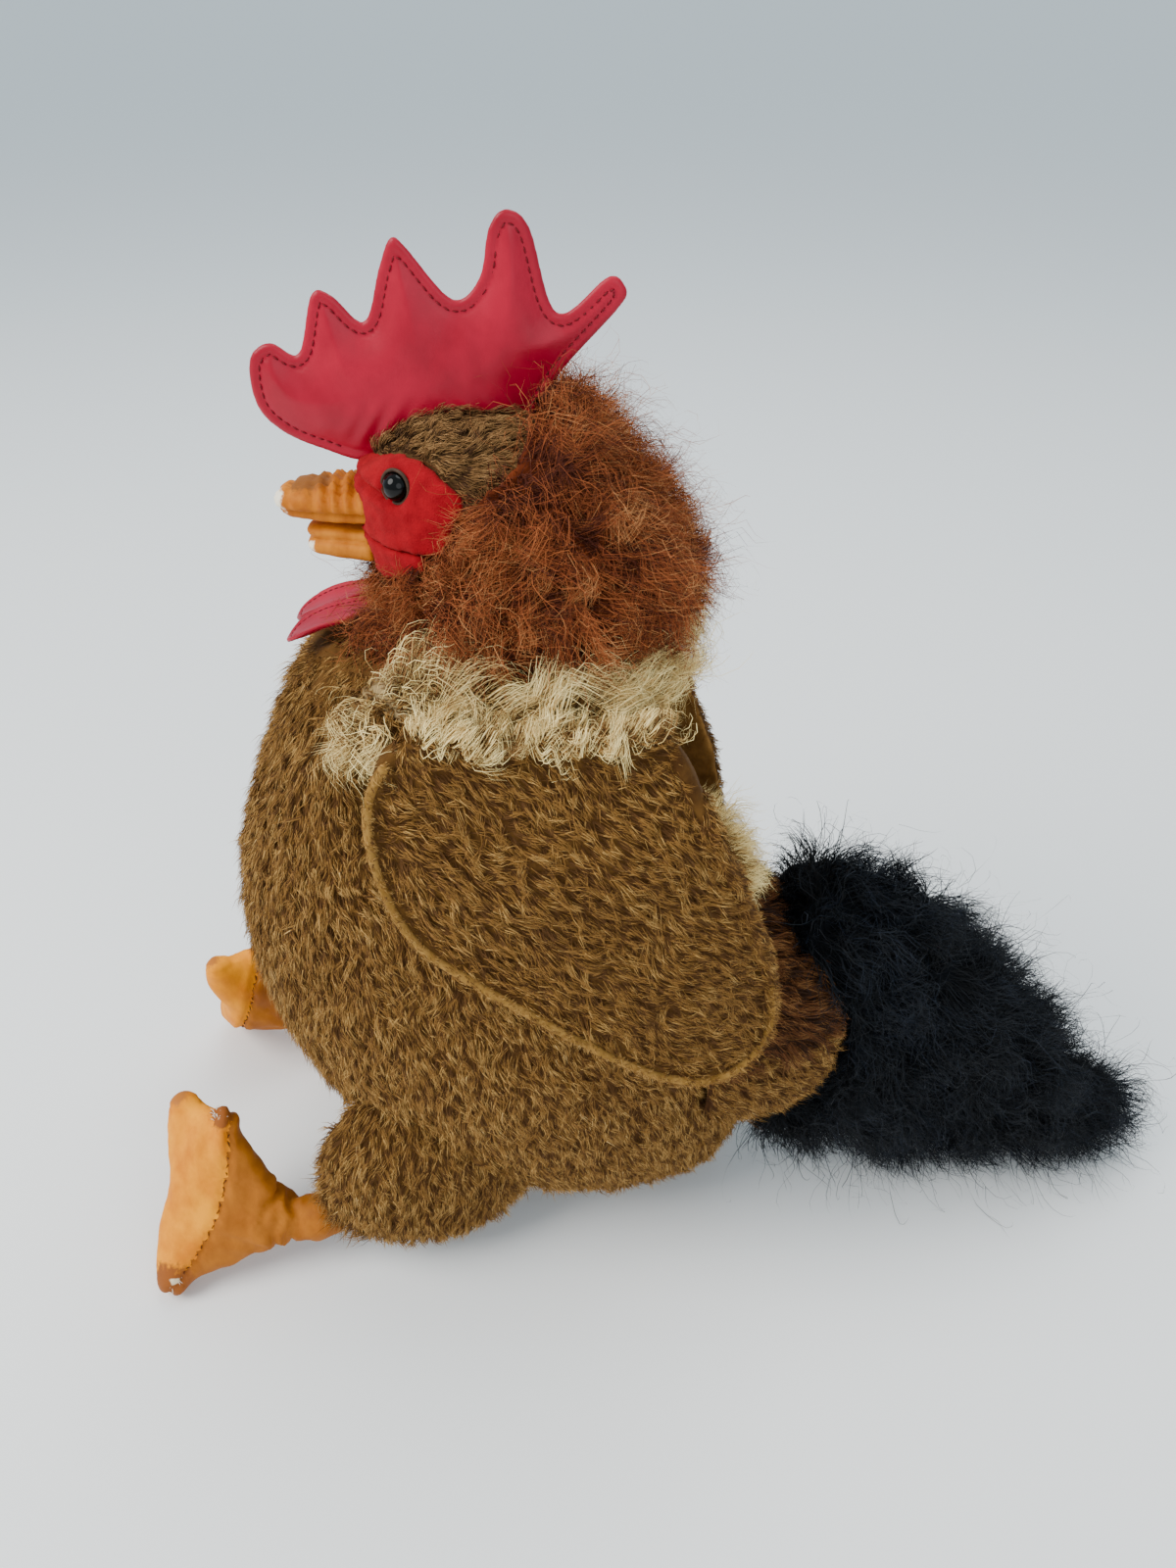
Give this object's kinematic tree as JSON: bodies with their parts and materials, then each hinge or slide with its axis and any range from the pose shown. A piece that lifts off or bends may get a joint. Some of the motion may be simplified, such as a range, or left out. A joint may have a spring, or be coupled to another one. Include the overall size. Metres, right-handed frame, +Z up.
{
  "type": "plush rooster hand puppet",
  "caption": "Sitting plush rooster hand puppet with a red comb, turning head, opening beak, flapping wings, floppy legs and a long-haired tail.",
  "frame": {"origin": "centre of the footprint box, on the surface that the puppet sits on", "axes": "the puppet faces -Y, its tail points along +Y, its left side is +X, and +Z is up"},
  "size_m": [0.2106, 0.5288, 0.489],
  "materials": {
    "brown_plush": "curly short pile plush, matt",
    "stuffing": "polyester fibre, matt",
    "lining": "woven nylon lining, satin",
    "cream_plush": "long curly pile, matt",
    "rust_plush": "short pile plush, matt",
    "crown_plush": "brushed short pile plush, matt",
    "rust_fur": "long curly mohair pile, soft sheen",
    "red_felt": "felt, matt",
    "red_vinyl": "soft vinyl, satin",
    "eye_black": "polished",
    "eye_rim": "matt",
    "washer": "matt",
    "gold_velour": "satin velour with a nap",
    "wing_lining": "brushed knit, matt",
    "black_fur": "long pile, soft sheen"
  },
  "bodies": {
    "torso": {"torso_skin": "brown_plush", "torso_filling": "stuffing", "hand_sleeve": "lining", "neck_collar": "cream_plush", "rump_band": "rust_plush", "back_tuft": "cream_plush"},
    "head": {"head_filling": "stuffing", "head_pocket": "lining", "crown_skin": "crown_plush", "hackle": "rust_fur", "face_patch_left": "red_felt", "face_patch_right": "red_felt", "comb_left_panel": "red_vinyl", "comb_right_panel": "red_vinyl", "comb_filling": "stuffing", "eye_left": "eye_black", "eye_right": "eye_black", "eye_rim_left": "eye_rim", "eye_rim_right": "eye_rim", "eye_washer_left": "washer", "eye_washer_right": "washer", "upper_beak_skin": "gold_velour", "upper_beak_filling": "stuffing"},
    "jaw": {"lower_beak_skin": "gold_velour", "lower_beak_filling": "stuffing", "cheek_patch": "red_felt"},
    "wattle_left": {"wattle_left": "red_vinyl"},
    "wattle_right": {"wattle_right": "red_vinyl"},
    "wing_left": {"wing_left_cover": "brown_plush", "wing_left_lining": "wing_lining"},
    "wing_right": {"wing_right_cover": "brown_plush", "wing_right_lining": "wing_lining"},
    "leg_left": {"thigh_left_skin": "brown_plush", "thigh_left_filling": "stuffing"},
    "leg_right": {"thigh_right_skin": "brown_plush", "thigh_right_filling": "stuffing"},
    "foot_left": {"foot_left_upper": "gold_velour", "foot_left_sole": "gold_velour", "foot_left_filling": "stuffing"},
    "foot_right": {"foot_right_upper": "gold_velour", "foot_right_sole": "gold_velour", "foot_right_filling": "stuffing"},
    "tail": {"tail_skin": "black_fur", "tail_filling": "stuffing"}
  },
  "joints": [
    {"name": "neck_turn", "type": "hinge", "parent": "torso", "child": "head", "pos_m": [0, -0.066, 0.344], "axis": [0, 0, 1], "range_deg": [-35, 35]},
    {"name": "jaw_open", "type": "hinge", "parent": "head", "child": "jaw", "pos_m": [0, -0.092, 0.38], "axis": [1, 0, 0], "range_deg": [0, 15]},
    {"name": "wattle_left_swing", "type": "hinge", "parent": "head", "child": "wattle_left", "pos_m": [0.0098, -0.1215, 0.3475], "axis": [0, -0.2924, 0.9563], "range_deg": [0, 25]},
    {"name": "wattle_right_swing", "type": "hinge", "parent": "head", "child": "wattle_right", "pos_m": [-0.0098, -0.1215, 0.3475], "axis": [0, 0.2924, -0.9563], "range_deg": [0, 25]},
    {"name": "wing_left_flap", "type": "hinge", "parent": "torso", "child": "wing_left", "pos_m": [0.083, -0.05, 0.334], "axis": [0, -1, 0], "range_deg": [0, 75]},
    {"name": "wing_right_flap", "type": "hinge", "parent": "torso", "child": "wing_right", "pos_m": [-0.083, -0.05, 0.334], "axis": [0, 1, 0], "range_deg": [0, 75]},
    {"name": "leg_left_lift", "type": "hinge", "parent": "torso", "child": "leg_left", "pos_m": [0.047, -0.121, 0.064], "axis": [-0.9511, -0.309, 0], "range_deg": [0, 20]},
    {"name": "leg_right_lift", "type": "hinge", "parent": "torso", "child": "leg_right", "pos_m": [-0.053, -0.13, 0.064], "axis": [-0.9511, 0.309, 0], "range_deg": [0, 20]},
    {"name": "foot_left_turn", "type": "hinge", "parent": "leg_left", "child": "foot_left", "pos_m": [0.067, -0.178, 0.029], "axis": [0, 0, 1], "range_deg": [-20, 20]},
    {"name": "foot_right_turn", "type": "hinge", "parent": "leg_right", "child": "foot_right", "pos_m": [-0.073, -0.187, 0.029], "axis": [0, 0, 1], "range_deg": [-20, 20]},
    {"name": "tail_lift", "type": "hinge", "parent": "torso", "child": "tail", "pos_m": [0, 0.02, 0.125], "axis": [1, 0, 0], "range_deg": [0, 20]}
  ]
}
